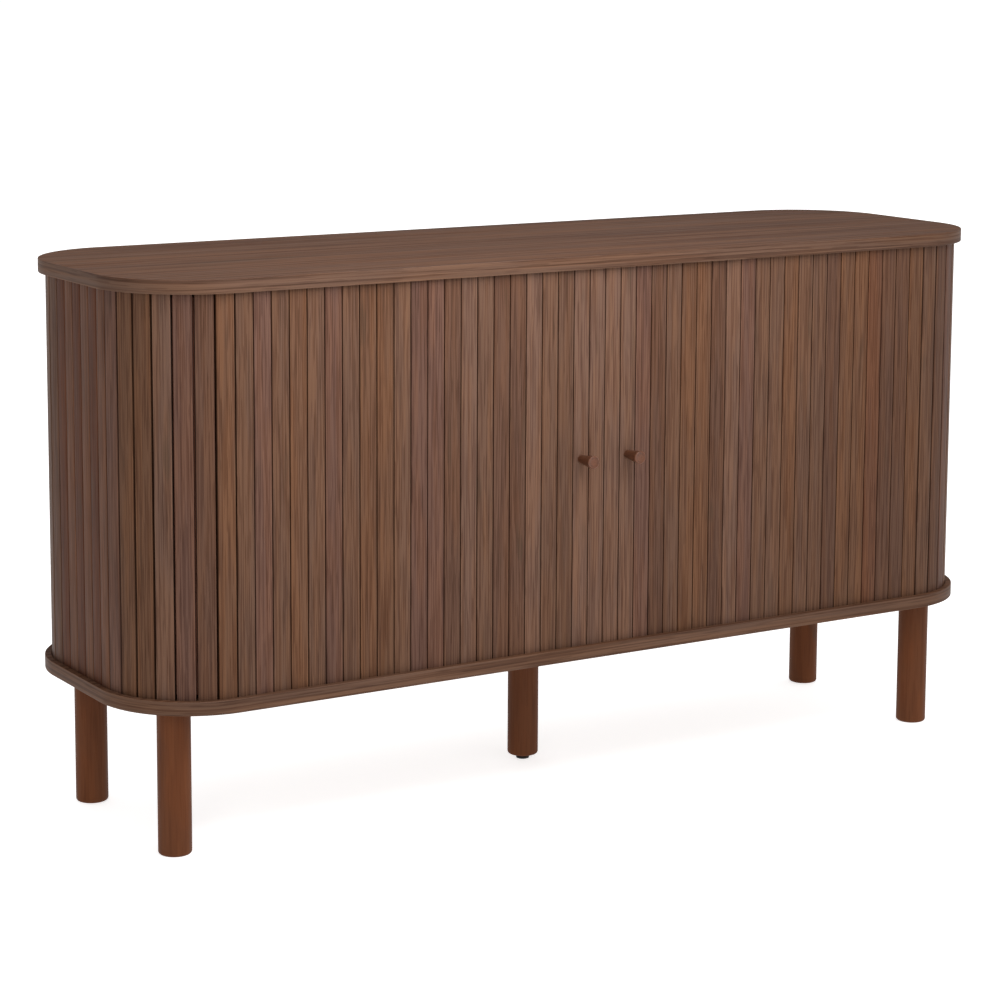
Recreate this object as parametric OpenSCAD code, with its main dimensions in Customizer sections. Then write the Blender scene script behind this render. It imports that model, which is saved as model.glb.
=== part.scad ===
// Sideboard with two tambour doors. Each door is a curtain of wooden slats on canvas, which runs in
// grooves routed in the top and bottom panels, round the case's corners and behind a false back.
// Millimetres. X runs to the right, the front faces -Y, and Z is up. The origin is on the floor,
// under the middle of the whole object, knobs included.

/* [Case] */
// Width of the top panel
cabinet_w = 1380; // [1100:10:1900]
// Depth of the top panel, from its front edge to its back edge
cabinet_d = 425; // [380:5:540]
// Height of the top surface above the floor
cabinet_h = 750; // [600:5:950]
// Thickness of the top and bottom panels
panel_t = 18; // [15:0.5:25]
// Corner radius of the top and bottom panels
corner_r = 135; // [110:1:180]
// Ledge from a panel's edge in to the slats' faces
overhang = 10; // [9:0.5:16]
// Thickness of the inner walls, the partition and the shelves
board_t = 16; // [15:0.5:22]
// Thickness of the false back and the outer back panel
back_t = 4; // [3:0.5:4.5]

/* [Tambour doors] */
// Slat pitch to aim for; it is adjusted to fit a whole number in each half of the front
slat_pitch_goal = 25; // [18:0.5:40]
// Slat thickness
slat_t = 8; // [6:0.2:12]
// Open seam between two slats
seam = 1.4; // [0.8:0.1:3]
// Chamfer along a slat's outer edges
slat_chamfer = 1; // [0.4:0.1:2]
// Depth of the grooves that the slats' ends run in
groove_depth = 8; // [6:0.5:9]
// Clearance on each side of a slat in its groove
groove_clear = 0.8; // [0.5:0.1:1.5]
// Thickness of the canvas that the slats are glued to
canvas_t = 0.6; // [0.4:0.1:1.2]
// Slats in the stiffened leading group that carries the knob
lead_slats = 3; // [3:1:5]
// Thickness of the stiffening batten behind the leading slats
batten_t = 10; // [8:0.5:16]

/* [Knobs] */
// Length of a knob
knob_len = 32; // [20:1:45]
// Diameter of a knob's face
knob_d = 18; // [14:0.5:28]
// Diameter of a knob at the slat
knob_base_d = 11; // [9:0.5:14]

/* [Legs] */
// Height of the legs, from the floor to the underside of the case
leg_h = 197; // [120:1:260]
// Diameter of the legs
leg_d = 44; // [30:1:60]
// Rounding of a leg's bottom edge
leg_round = 4; // [1:0.5:8]
// Distance from the end of the case to the axis of a corner leg
leg_inset_x = 77; // [70:1:110]
// Distance from the front or back of the case to the axis of a corner leg
leg_inset_y = 80; // [75:1:110]
// Gap under the centre leg that its levelling glide fills
glide_gap = 7; // [6:0.5:12]
// Travel of the levelling glide as it is screwed out
glide_travel = 8; // [4:1:12]

/* [Inside] */
// Height of a shelf's underside above the case's floor
shelf_up = 254; // [120:32:320]
// Gap from a shelf's end to the wall beside it
shelf_gap = 1; // [0.5:0.5:3]
// Setback of a shelf's front edge behind the walls' front edges
shelf_setback = 12; // [5:1:60]
// Clearance between a batten's back and the walls' front edges
wall_clear = 9; // [4:1:30]
// Holes in each row for the shelf pins
pin_rows = 5; // [3:2:5]

/* [Hidden] */
$fn = 64;
arc_fn = 128;                                         // facets of the case's own corners
cut = 1;                                              // how far a cut runs past a face
half_w = cabinet_w / 2;
half_d = cabinet_d / 2;
front_half = half_w - corner_r;                       // centre seam to the start of a corner
side_half = half_d - corner_r;                        // middle of an end to the start of a corner
floor_z = leg_h + panel_t;                            // upper face of the bottom panel
ceil_z = cabinet_h - panel_t;                         // lower face of the top panel
inner_h = ceil_z - floor_z;

// The slats' backs follow one line round the case: straight, corner, end, corner, straight.
front_slats = round(front_half / slat_pitch_goal);    // slats in one half of the front
pitch = front_half / front_slats;
slat_w = pitch - seam;
face_r = corner_r - overhang;                         // radius of the slats' faces in a corner
canvas_r = face_r - slat_t;                           // radius of the slats' backs in a corner
corner_len = canvas_r * PI / 2;
end_len = 2 * side_half;
turn_len = 2 * corner_len + end_len;                  // front corner, end and back corner
turn_slats = ceil(turn_len / pitch);                  // slats round one end of the case
front_y = -(side_half + canvas_r);                    // line of the slats' backs along the front
back_y = -front_y;
corner_slats = ceil(corner_len / pitch);              // slats that reach round the front corner
back_corner_start = floor((corner_len + end_len) / pitch);
door_travel = (front_slats - lead_slats) * pitch;

slat_gap_under = 0.3;
slat_gap_over = 1.5;
slat_z = floor_z - groove_depth + slat_gap_under;
slat_len = inner_h + 2 * groove_depth - slat_gap_under - slat_gap_over;
corner_bulge = sqrt(face_r * face_r + slat_w * slat_w / 4) - face_r;   // a flat slat in a round groove
groove_out_r = face_r + corner_bulge + groove_clear;
groove_in_r = canvas_r - groove_clear;
canvas_margin = 5;                                    // canvas stops short of the panels
canvas_end = 0.4;                                     // and of the next stretch of canvas

batten_margin = 6;
batten_side = 4;
batten_y = front_y + canvas_t;
wall_front = batten_y + batten_t + wall_clear;
false_back_clear = 2.4;
false_back_y = back_y - canvas_t - false_back_clear;  // rear face of the false back
wall_back = false_back_y - back_t;
wall_beyond = 14;                                     // outer face of an inner wall past the corner's start
wall_x = front_half + wall_beyond - board_t;          // inner face of an inner wall
shelf_z = floor_z + shelf_up;

knob_x = 1.5 * pitch;
knob_z = floor_z + inner_h / 2;
knob_rim = 1.5;
knob_dish = 0.8;
knob_overreach = knob_len - overhang;                 // how far a knob stands out past the top panel
case_y = knob_overreach / 2;                          // puts the origin under the middle of everything
screw_d = 4;
screw_head_d = 8;
screw_head_t = 2.6;
screw_fit = 0.05;                                     // radial clearance round a screw or a pin
knob_screw_bite = 18;

batten_screw_d = 3;
batten_screw_head_d = 6;
batten_screw_head_t = 1.5;
batten_screw_bite = 5;
batten_screw_ends = 60;                               // from a batten's end to its screws

leg_x = half_w - leg_inset_x;
leg_y = half_d - leg_inset_y;
bolt_d = 8;
bolt_in_leg = 38;
insert_d = 12;
insert_cover = 5;                                     // panel left above a leg's threaded insert
insert_len = panel_t - insert_cover;
bolt_end_gap = 1;
glide_insert_d = 11;
glide_insert_len = 25;
glide_stem_in = 34;
glide_bore_d = bolt_d + 2;
glide_foot_d = 19;
glide_foot_h = 3.4;
glide_foot_edge = 1;
glide_foot_side = 2;                                  // height where the foot's upper slope starts
glide_hex_h = 2.6;
glide_hex_af = 13;
glide_pin_d = 5;
glide_pin_len = 2;
glide_float = 0.3;

pin_d = 5;
pin_in = 6;
pin_out = 9;
pin_head_d = 7;
pin_step = 32;
pin_setback = 50;
pin_hole_extra = 0.5;
pin_ys = [wall_front + pin_setback, wall_back - pin_setback];
pin_z = shelf_z - pin_head_d / 2;

cam_d = 15;
cam_depth = 12;
cam_down = 24;                                        // from a wall's top edge to a cam's centre
cam_bolt_d = 6;
cam_bolt_in_panel = 9;
fitting_y = 120;                                      // cams and bottom screws, from the middle
dowel_y = 70;
dowel_d = 8;
dowel_in_panel = 9;
dowel_in_wall = 20;
case_screw_d = 5;
case_screw_head_d = 9;
case_screw_len = 50;
case_screw_head_t = 3;

rebate_h = 14;                                        // how far the outer back laps each panel
rebate_fit = 0.4;
back_screw_d = 3;
back_screw_short = 3;                                 // screw's end short of the false back
back_screw_len = half_d - false_back_y - back_screw_short;
back_screw_head_d = 6;
back_screw_head_t = 1.6;
back_screw_in = 10.5;                                 // from a panel's inner face to the screws
back_screw_n = 9;
back_screw_end = 20;                                  // from the outer back's end to its first screw
divider_screw_n = 3;
back_inset = 2;                                       // outer back's end short of the corner's start
divider_w = 30;                                       // batten between the two channels
divider_fit = 0.2;

leg_spots = [[-leg_x, -leg_y], [leg_x, -leg_y], [-leg_x, leg_y], [leg_x, leg_y], [0, 0]];
wall_spots = [-(wall_x + board_t / 2), 0, wall_x + board_t / 2];

WALNUT = [0.40, 0.28, 0.21];
SLAT_WALNUT = [0.45, 0.30, 0.22];
SOLID_WALNUT = [0.36, 0.22, 0.15];
INNER_BOARD = [0.38, 0.27, 0.20];
THIN_BOARD = [0.30, 0.22, 0.17];
CANVAS = [0.10, 0.08, 0.07];
STEEL = [0.70, 0.70, 0.72];
ZINC = [0.60, 0.58, 0.50];
BEECH = [0.80, 0.68, 0.50];
BLACK = [0.05, 0.05, 0.05];

// ---- placing ----

// The case stands half a knob's overreach behind the origin.
module in_case() {
    translate([0, case_y, 0]) children();
}

// Everything of a door is drawn for the right one and mirrored for the left one.
module on_side(side) {
    in_case() mirror([side == "left" ? 1 : 0, 0, 0]) children();
}

// Point and heading of the slats' line at a length s from the centre seam, on the right.
function line_at(s) =
    let (in_corner = s - front_half, on_end = in_corner - corner_len,
         in_back = on_end - end_len, on_back = in_back - corner_len)
    in_corner <= 0 ? [s, front_y, 0]
    : on_end <= 0 ? corner_at(-side_half, in_corner / canvas_r * 180 / PI - 90)
    : in_back <= 0 ? [front_half + canvas_r, on_end - side_half, 90]
    : on_back <= 0 ? corner_at(side_half, in_back / canvas_r * 180 / PI)
    : [front_half - on_back, back_y, 180];

function corner_at(y, a) = [front_half + canvas_r * cos(a), y + canvas_r * sin(a), a + 90];

module on_line(s) {
    spot = line_at(s);
    translate([spot[0], spot[1], 0]) rotate([0, 0, spot[2]]) children();
}

// ---- shapes ----

// A board with round corners: the case's corner centres with radius r about each.
module ring_board(r, h) {
    translate([-front_half, -side_half - r, 0]) cube([2 * front_half, 2 * (side_half + r), h]);
    translate([-front_half - r, -side_half, 0]) cube([2 * (front_half + r), 2 * side_half, h]);
    for (x = [-front_half, front_half], y = [-side_half, side_half])
        translate([x, y, 0]) cylinder(r = r, h = h, $fn = arc_fn);
}

module groove_ring() {
    difference() {
        ring_board(groove_out_r, groove_depth);
        ring_board(groove_in_r, groove_depth);
    }
}

module block(low, high) {
    translate(low) cube(high - low);
}

// One slat, its back on the line and its face outwards, with both outer edges chamfered.
module slat() {
    w = slat_w / 2;
    c = slat_chamfer;
    translate([0, 0, slat_z]) linear_extrude(slat_len)
        polygon([[-w, 0], [-w, c - slat_t], [c - w, -slat_t],
                 [w - c, -slat_t], [w, c - slat_t], [w, 0]]);
}

// Slats number first to last - 1, counted from the centre seam.
module slats(first, last) {
    for (k = [first : last - 1]) on_line((k + 0.5) * pitch) slat();
}

// A flat strip of canvas behind the slats along the front.
module front_canvas(first, last) {
    block([first * pitch + canvas_end, front_y, floor_z + canvas_margin],
          [last * pitch - canvas_end, front_y + canvas_t, ceil_z - canvas_margin]);
}

module front_corner_canvas() {
    translate([front_half, -side_half, floor_z + canvas_margin]) rotate([0, 0, -90])
        rotate_extrude(angle = 90, $fn = arc_fn)
            translate([canvas_r - canvas_t, 0]) square([canvas_t, inner_h - 2 * canvas_margin]);
}

module screw(d, len, head_d, head_t) {
    cylinder(d = d, h = len);
    cylinder(d1 = head_d, d2 = d, h = head_t);
}

module tube(outer_d, inner_d, h) {
    difference() {
        cylinder(d = outer_d, h = h);
        translate([0, 0, -cut]) cylinder(d = inner_d, h = h + 2 * cut);
    }
}

// ---- case ----

// Blind holes in a panel's inner face, where z is that face and up is the way into the panel.
module wall_fitting_holes(z, up) {
    for (x = wall_spots, y = [-dowel_y, dowel_y])
        translate([x, y, up > 0 ? z : z - dowel_in_panel])
            cylinder(d = dowel_d + 2 * screw_fit, h = dowel_in_panel);
}

module back_rebate() {
    reach = front_half - back_inset + rebate_fit;
    block([-reach, half_d - back_t - rebate_fit, floor_z - rebate_h - rebate_fit],
          [reach, half_d + cut, ceil_z + rebate_h + rebate_fit]);
}

// Positions of the small screws that hold the outer back: along both panels and up the divider.
module at_back_screws() {
    reach = front_half - back_inset - back_screw_end;
    step = 2 * reach / (back_screw_n - 1);
    for (i = [0 : back_screw_n - 1], z = [floor_z - back_screw_in, ceil_z + back_screw_in])
        translate([-reach + i * step, half_d, z]) rotate([90, 0, 0]) children();
    for (i = [1 : divider_screw_n])
        translate([0, half_d, floor_z + i * inner_h / (divider_screw_n + 1)])
            rotate([90, 0, 0]) children();
}

module back_screw_bores() {
    at_back_screws() translate([0, 0, -cut])
        cylinder(d = back_screw_d + 2 * screw_fit, h = back_screw_len + 2 * cut);
}

module top_panel() {
    color(WALNUT) in_case() difference() {
        translate([0, 0, ceil_z]) ring_board(corner_r, panel_t);
        translate([0, 0, ceil_z]) groove_ring();
        back_rebate();
        wall_fitting_holes(ceil_z, 1);
        for (x = wall_spots, y = [-fitting_y, fitting_y])
            translate([x, y, ceil_z])
                cylinder(d = cam_bolt_d + 2 * screw_fit, h = cam_bolt_in_panel);
        back_screw_bores();
    }
}

module bottom_panel() {
    color(WALNUT) in_case() difference() {
        translate([0, 0, leg_h]) ring_board(corner_r, panel_t);
        translate([0, 0, floor_z - groove_depth]) groove_ring();
        back_rebate();
        wall_fitting_holes(floor_z, -1);
        for (spot = leg_spots)
            translate([spot[0], spot[1], leg_h])
                cylinder(d = insert_d + 2 * screw_fit, h = insert_len);
        at_case_screws() case_screw(screw_fit);
        back_screw_bores();
    }
}

module at_case_screws() {
    for (x = wall_spots, y = [-fitting_y, fitting_y]) translate([x, y, leg_h]) children();
}

// A case screw, or with room > 0 the hole for one.
module case_screw(room) {
    cylinder(d = case_screw_d + 2 * room, h = case_screw_len + 4 * room);
    cylinder(d1 = case_screw_head_d + 2 * room, d2 = case_screw_d + 2 * room,
             h = case_screw_head_t);
}

// Rows of shelf pin holes bored from the face at x, to the right with into > 0 or else to the left.
module pin_holes(x, into) {
    depth = pin_in + pin_hole_extra;
    for (i = [0 : pin_rows - 1], y = pin_ys)
        translate([into > 0 ? x : x - depth, y, pin_z + (i - (pin_rows - 1) / 2) * pin_step])
            rotate([0, 90, 0]) cylinder(d = pin_d + 2 * screw_fit, h = depth);
}

// A standing board with its cam, dowel and screw holes; x is its left face and cam_face the face
// that the cams are let into.
module standing_board(x, cam_face) {
    middle = x + board_t / 2;
    difference() {
        block([x, wall_front, floor_z], [x + board_t, wall_back, ceil_z]);
        for (y = [-fitting_y, fitting_y]) {
            translate([middle, y, ceil_z - cam_down])
                cylinder(d = cam_bolt_d + 2 * screw_fit, h = cam_down + cut);
            translate([cam_face > 0 ? x + board_t - cam_depth : x, y, ceil_z - cam_down])
                rotate([0, 90, 0]) cylinder(d = cam_d + 2 * screw_fit, h = cam_depth);
            translate([middle, y, leg_h]) case_screw(screw_fit);
        }
        for (y = [-dowel_y, dowel_y], z = [floor_z, ceil_z - dowel_in_wall])
            translate([middle, y, z]) cylinder(d = dowel_d + 2 * screw_fit, h = dowel_in_wall);
    }
}

module centre_partition() {
    color(INNER_BOARD) in_case() difference() {
        standing_board(-board_t / 2, 1);
        pin_holes(-board_t / 2, 1);
        pin_holes(board_t / 2, -1);
    }
}

module inner_wall(side) {
    color(INNER_BOARD) on_side(side) difference() {
        standing_board(wall_x, -1);
        pin_holes(wall_x, 1);
    }
}

module false_back() {
    reach = wall_x + board_t;
    color(THIN_BOARD) in_case()
        block([-reach, wall_back, floor_z], [reach, false_back_y, ceil_z]);
}

module outer_back_panel() {
    reach = front_half - back_inset;
    color(THIN_BOARD) in_case() difference() {
        block([-reach, half_d - back_t, floor_z - rebate_h], [reach, half_d, ceil_z + rebate_h]);
        back_screw_bores();
        at_back_screws() back_screw_head(screw_fit);
    }
}

module channel_divider() {
    color(INNER_BOARD) in_case() difference() {
        block([-divider_w / 2, false_back_y, floor_z],
              [divider_w / 2, half_d - back_t - rebate_fit, ceil_z]);
        back_screw_bores();
    }
}

module shelf(side) {
    color(INNER_BOARD) on_side(side)
        block([board_t / 2 + shelf_gap, wall_front + shelf_setback, shelf_z],
              [wall_x - shelf_gap, wall_back - shelf_gap, shelf_z + board_t]);
}

module shelf_pin() {
    cylinder(d = pin_d, h = pin_in + pin_out);
    translate([0, 0, pin_in]) cylinder(d = pin_head_d, h = pin_out);
}

module shelf_pins() {
    for (side = ["left", "right"], y = pin_ys)
        color(STEEL) on_side(side) {
            translate([board_t / 2 - pin_in, y, pin_z]) rotate([0, 90, 0]) shelf_pin();
            translate([wall_x + pin_in, y, pin_z]) rotate([0, -90, 0]) shelf_pin();
        }
}

// ---- fasteners of the case ----

module dowels() {
    for (x = wall_spots, y = [-dowel_y, dowel_y],
         z = [floor_z - dowel_in_panel, ceil_z - dowel_in_wall])
        color(BEECH) in_case() translate([x, y, z])
            cylinder(d = dowel_d, h = dowel_in_panel + dowel_in_wall);
}

module cam_bolts() {
    for (x = wall_spots, y = [-fitting_y, fitting_y])
        color(STEEL) in_case() translate([x, y, ceil_z - cam_down])
            cylinder(d = cam_bolt_d, h = cam_down + cam_bolt_in_panel);
}

// A cam disc with the bore that takes its bolt's end and a cross slot in its face.
module cam_disc() {
    slot = 2;
    difference() {
        cylinder(d = cam_d, h = cam_depth);
        translate([0, 0, board_t / 2]) rotate([0, -90, 0])
            translate([0, 0, -cam_bolt_d / 2]) cylinder(d = cam_bolt_d + 4 * screw_fit, h = cam_d);
        translate([-cam_d / 4, -slot / 2, -cut]) cube([cam_d / 2, slot, slot + cut]);
        translate([-slot / 2, -cam_d / 4, -cut]) cube([slot, cam_d / 2, slot + cut]);
    }
}

module cam_discs() {
    for (y = [-fitting_y, fitting_y]) color(ZINC) {
        in_case() translate([board_t / 2, y, ceil_z - cam_down]) rotate([0, -90, 0])
            rotate([0, 0, 180]) cam_disc();
        for (side = ["left", "right"])
            on_side(side) translate([wall_x, y, ceil_z - cam_down]) rotate([0, 90, 0]) cam_disc();
    }
}

module case_screws() {
    color(STEEL) in_case() at_case_screws() case_screw(0);
}

module back_screw_head(room) {
    cylinder(d1 = back_screw_head_d + 2 * room, d2 = back_screw_d + 2 * room,
             h = back_screw_head_t);
}

module back_screws() {
    color(STEEL) in_case() at_back_screws() {
        cylinder(d = back_screw_d, h = back_screw_len);
        back_screw_head(0);
    }
}

// ---- legs ----

// A turned leg standing on z = foot, with the bore for its bolt in the top.
module leg(spot, foot) {
    r = leg_d / 2;
    arc = [for (a = [0 : 15 : 90])
        [r - leg_round + leg_round * sin(a), foot + leg_round * (1 - cos(a))]];
    color(SOLID_WALNUT) in_case() translate([spot[0], spot[1], 0]) difference() {
        rotate_extrude() polygon(concat([[0, leg_h], [0, foot]], arc, [[r, leg_h]]));
        translate([0, 0, leg_h - bolt_in_leg])
            cylinder(d = bolt_d + 2 * screw_fit, h = bolt_in_leg + cut);
        if (foot > 0) {
            translate([0, 0, foot - cut])
                cylinder(d = glide_insert_d + 2 * screw_fit, h = glide_insert_len + cut);
            translate([0, 0, foot]) cylinder(d = glide_bore_d, h = glide_stem_in + bolt_end_gap);
        }
    }
}

module leg_bolts() {
    for (spot = leg_spots)
        color(STEEL) in_case() translate([spot[0], spot[1], leg_h - bolt_in_leg + bolt_end_gap])
            cylinder(d = bolt_d, h = bolt_in_leg + insert_len - 2 * bolt_end_gap);
}

module leg_inserts() {
    for (spot = leg_spots)
        color(ZINC) in_case() translate([spot[0], spot[1], leg_h])
            tube(insert_d, bolt_d + 2 * screw_fit, insert_len);
}

module glide_insert() {
    color(ZINC) in_case() translate([0, 0, glide_gap])
        tube(glide_insert_d, bolt_d + 2 * screw_fit, glide_insert_len);
}

// The threaded stem with its hexagon; a pin under it turns in the foot.
module glide_stem() {
    hex_z = glide_foot_h + glide_float;
    color(STEEL) in_case() {
        translate([0, 0, glide_foot_h - glide_pin_len])
            cylinder(d = glide_pin_d, h = glide_pin_len + glide_float);
        translate([0, 0, hex_z]) cylinder(d = glide_hex_af / cos(30), h = glide_hex_h, $fn = 6);
        translate([0, 0, hex_z]) cylinder(d = bolt_d, h = glide_gap - hex_z + glide_stem_in);
    }
}

module glide_foot() {
    r = glide_foot_d / 2;
    color(BLACK) in_case() difference() {
        rotate_extrude() polygon([[0, 0], [r - glide_foot_edge, 0], [r, glide_foot_edge],
            [r, glide_foot_side], [r - glide_foot_side, glide_foot_h], [0, glide_foot_h]]);
        translate([0, 0, glide_foot_h - glide_pin_len - glide_float])
            cylinder(d = glide_pin_d + 2 * screw_fit, h = glide_pin_len + 2 * cut);
    }
}

// ---- doors ----

// The bore that a knob's screw passes through, from the batten's back to the knob.
module knob_screw_bore() {
    translate([knob_x, batten_y + batten_t + cut, knob_z]) rotate([90, 0, 0])
        cylinder(d = screw_d + 2 * screw_fit, h = batten_t + canvas_t + slat_t + 2 * cut);
}

// Screws that hold the outer two leading slats to the batten, driven from behind.
module at_batten_screws() {
    for (k = [0.5, lead_slats - 0.5], z = [floor_z + batten_screw_ends, ceil_z - batten_screw_ends])
        translate([k * pitch, batten_y + batten_t, z]) rotate([90, 0, 0]) children();
}

module batten_screw(room) {
    screw(batten_screw_d + 2 * room, batten_t + canvas_t + batten_screw_bite,
          batten_screw_head_d + 2 * room, batten_screw_head_t);
}

module lead_slats(side) {
    color(SLAT_WALNUT) on_side(side) difference() {
        slats(0, lead_slats);
        knob_screw_bore();
        at_batten_screws() batten_screw(screw_fit);
    }
}

module lead_canvas(side) {
    color(CANVAS) on_side(side) difference() {
        front_canvas(0, lead_slats);
        knob_screw_bore();
        at_batten_screws() batten_screw(screw_fit);
    }
}

module lead_batten(side) {
    color(INNER_BOARD) on_side(side) difference() {
        block([batten_side, batten_y, floor_z + batten_margin],
              [lead_slats * pitch - batten_side, batten_y + batten_t, ceil_z - batten_margin]);
        knob_screw_bore();
        translate([knob_x, batten_y + batten_t, knob_z]) rotate([90, 0, 0])
            cylinder(d = screw_head_d + 4 * screw_fit, h = screw_head_t);
        at_batten_screws() batten_screw(screw_fit);
    }
}

module batten_screws(side) {
    color(STEEL) on_side(side) at_batten_screws() batten_screw(0);
}

// A turned knob, wider at its face, with a soft rim and a shallow dish.
module knob(side) {
    r = knob_d / 2;
    rim = [for (a = [0 : 15 : 120])
        [r - knob_rim + knob_rim * cos(a), knob_len - knob_rim + knob_rim * sin(a)]];
    outline = concat([[0, 0], [knob_base_d / 2, 0]], rim, [[0, knob_len - knob_dish]]);
    color(SOLID_WALNUT) on_side(side)
        translate([knob_x, front_y - slat_t, knob_z]) rotate([90, 0, 0]) difference() {
            rotate_extrude() polygon(outline);
            cylinder(d = screw_d + 2 * screw_fit, h = knob_screw_bite + bolt_end_gap);
        }
}

module knob_screw(side) {
    color(STEEL) on_side(side) translate([knob_x, batten_y + batten_t, knob_z]) rotate([90, 0, 0]) {
        cylinder(d = screw_d, h = batten_t + canvas_t + slat_t + knob_screw_bite);
        cylinder(d = screw_head_d, h = screw_head_t);
    }
}

module curtain_slats(side) {
    color(SLAT_WALNUT) on_side(side) slats(lead_slats, front_slats);
}

module curtain_canvas(side) {
    color(CANVAS) on_side(side) front_canvas(lead_slats, front_slats);
}

// The slats round an end of the case, in three stretches.
module front_corner_slats(side) {
    color(SLAT_WALNUT) on_side(side) slats(front_slats, front_slats + corner_slats);
}

module end_slats(side) {
    color(SLAT_WALNUT) on_side(side) slats(front_slats + corner_slats, front_slats + back_corner_start);
}

module back_corner_slats(side) {
    color(SLAT_WALNUT) on_side(side) slats(front_slats + back_corner_start, front_slats + turn_slats);
}

// Canvas round an end: it starts at the corner and ends on the back straight with the last slat.
module end_canvas(side) {
    past = turn_slats * pitch - turn_len - canvas_end;
    z0 = floor_z + canvas_margin;
    z1 = ceil_z - canvas_margin;
    color(CANVAS) on_side(side) {
        front_corner_canvas();
        block([front_half + canvas_r - canvas_t, -side_half, z0], [front_half + canvas_r, side_half, z1]);
        mirror([0, 1, 0]) front_corner_canvas();
        block([front_half - past, back_y - canvas_t, z0], [front_half, back_y, z1]);
    }
}

module tail_slat(side) {
    color(SLAT_WALNUT) on_side(side) slats(front_slats + turn_slats, front_slats + turn_slats + 1);
}

module tail_canvas(side) {
    start = front_half - turn_slats * pitch + turn_len;
    color(CANVAS) on_side(side)
        block([start - pitch + canvas_end, back_y - canvas_t, floor_z + canvas_margin],
              [start - canvas_end, back_y, ceil_z - canvas_margin]);
}

top_panel();
bottom_panel();
centre_partition();
inner_wall("left");  // left_inner_wall
inner_wall("right");  // right_inner_wall
false_back();
outer_back_panel();
channel_divider();
shelf("left");  // left_shelf
shelf("right");  // right_shelf
shelf_pins();
leg(leg_spots[0], 0);  // leg_front_left
leg(leg_spots[1], 0);  // leg_front_right
leg(leg_spots[2], 0);  // leg_back_left
leg(leg_spots[3], 0);  // leg_back_right
leg(leg_spots[4], glide_gap);  // leg_centre
leg_bolts();
leg_inserts();
glide_insert();
glide_stem();
glide_foot();
dowels();
cam_bolts();
cam_discs();
case_screws();
back_screws();
lead_slats("left");  // left_lead_slats
lead_canvas("left");  // left_lead_canvas
lead_batten("left");  // left_lead_batten
batten_screws("left");  // left_batten_screws
knob("left");  // left_knob
knob_screw("left");  // left_knob_screw
curtain_slats("left");  // left_curtain_slats
curtain_canvas("left");  // left_curtain_canvas
front_corner_slats("left");  // left_front_corner_slats
end_slats("left");  // left_end_slats
back_corner_slats("left");  // left_back_corner_slats
end_canvas("left");  // left_end_canvas
tail_slat("left");  // left_tail_slat
tail_canvas("left");  // left_tail_canvas
lead_slats("right");  // right_lead_slats
lead_canvas("right");  // right_lead_canvas
lead_batten("right");  // right_lead_batten
batten_screws("right");  // right_batten_screws
knob("right");  // right_knob
knob_screw("right");  // right_knob_screw
curtain_slats("right");  // right_curtain_slats
curtain_canvas("right");  // right_curtain_canvas
front_corner_slats("right");  // right_front_corner_slats
end_slats("right");  // right_end_slats
back_corner_slats("right");  // right_back_corner_slats
end_canvas("right");  // right_end_canvas
tail_slat("right");  // right_tail_slat
tail_canvas("right");  // right_tail_canvas
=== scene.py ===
"""Looks of a walnut sideboard with two tambour doors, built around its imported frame.

Each sub-assembly is a class that holds its sizes, builds its pieces with Blender's own modelling
tools and dresses them. Sizes are in metres. X runs to the right, the front faces -Y, Z is up.
"""
import logging
import math
import random
from collections.abc import Callable, Iterator, Sequence
from contextlib import contextmanager
from dataclasses import dataclass, field
from enum import Enum
from itertools import product

import bmesh
import bpy
from mathutils import Matrix, Vector


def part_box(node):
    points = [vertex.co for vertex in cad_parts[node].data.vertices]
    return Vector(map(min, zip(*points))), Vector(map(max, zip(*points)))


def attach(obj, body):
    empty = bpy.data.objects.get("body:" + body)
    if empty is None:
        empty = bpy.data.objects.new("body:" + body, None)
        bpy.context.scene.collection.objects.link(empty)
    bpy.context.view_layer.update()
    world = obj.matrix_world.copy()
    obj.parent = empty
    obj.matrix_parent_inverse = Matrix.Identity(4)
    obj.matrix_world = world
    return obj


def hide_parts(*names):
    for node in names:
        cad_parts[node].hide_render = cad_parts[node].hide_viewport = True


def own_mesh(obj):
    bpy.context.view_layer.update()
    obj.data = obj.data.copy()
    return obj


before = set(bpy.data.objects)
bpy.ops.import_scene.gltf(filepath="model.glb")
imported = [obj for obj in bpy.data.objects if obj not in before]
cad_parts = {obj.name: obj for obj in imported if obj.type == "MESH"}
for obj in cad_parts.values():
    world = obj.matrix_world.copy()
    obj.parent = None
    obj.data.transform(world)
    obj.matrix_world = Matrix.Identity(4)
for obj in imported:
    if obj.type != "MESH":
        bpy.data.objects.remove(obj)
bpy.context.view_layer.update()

LOG = logging.getLogger("sideboard")
SMOOTH_ANGLE = math.radians(32)  # edges sharper than this stay sharp
LEVEL = 0.9                      # a face whose normal's Z is past this lies level
ROUNDING = 0.0007                # a face narrower than this belongs to a rounding
NEAR = 1e-5                      # points closer than this are the same point
GRAIN_MAP = "grain"              # map of lengths across and along the grain
# the tone attribute holds a slat's own colour, with painted shade on its sides in the seams
TONE_AND_SHADE = "tone"                    # attribute: a slat's own colour
# the wear-and-highlight attribute marks roundings, lightened partly as wear and partly as a
# painted highlight
WEAR_AND_HIGHLIGHT = "wear"                    # attribute: 1 on roundings

Colour = tuple[float, float, float]
Piece = bpy.types.Object
Spot = tuple[float, float, float]
Profile = tuple[tuple[float, float], ...]


def srgb(red: int, green: int, blue: int) -> Colour:
    """Turns a colour in 0 to 255 screen values into the linear values that a shader takes."""
    def linear(value: int) -> float:
        """One channel, by the screen's transfer curve."""
        part = value / 255
        return part / 12.92 if part <= 0.04045 else ((part + 0.055) / 1.055) ** 2.4
    return linear(red), linear(green), linear(blue)


# ---- modelling by hand -------------------------------------------------------------------------


class Part(Enum):
    """What an edit selects, and how the mesh data names it."""

    VERT = "verts"
    EDGE = "edges"
    FACE = "faces"


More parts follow.
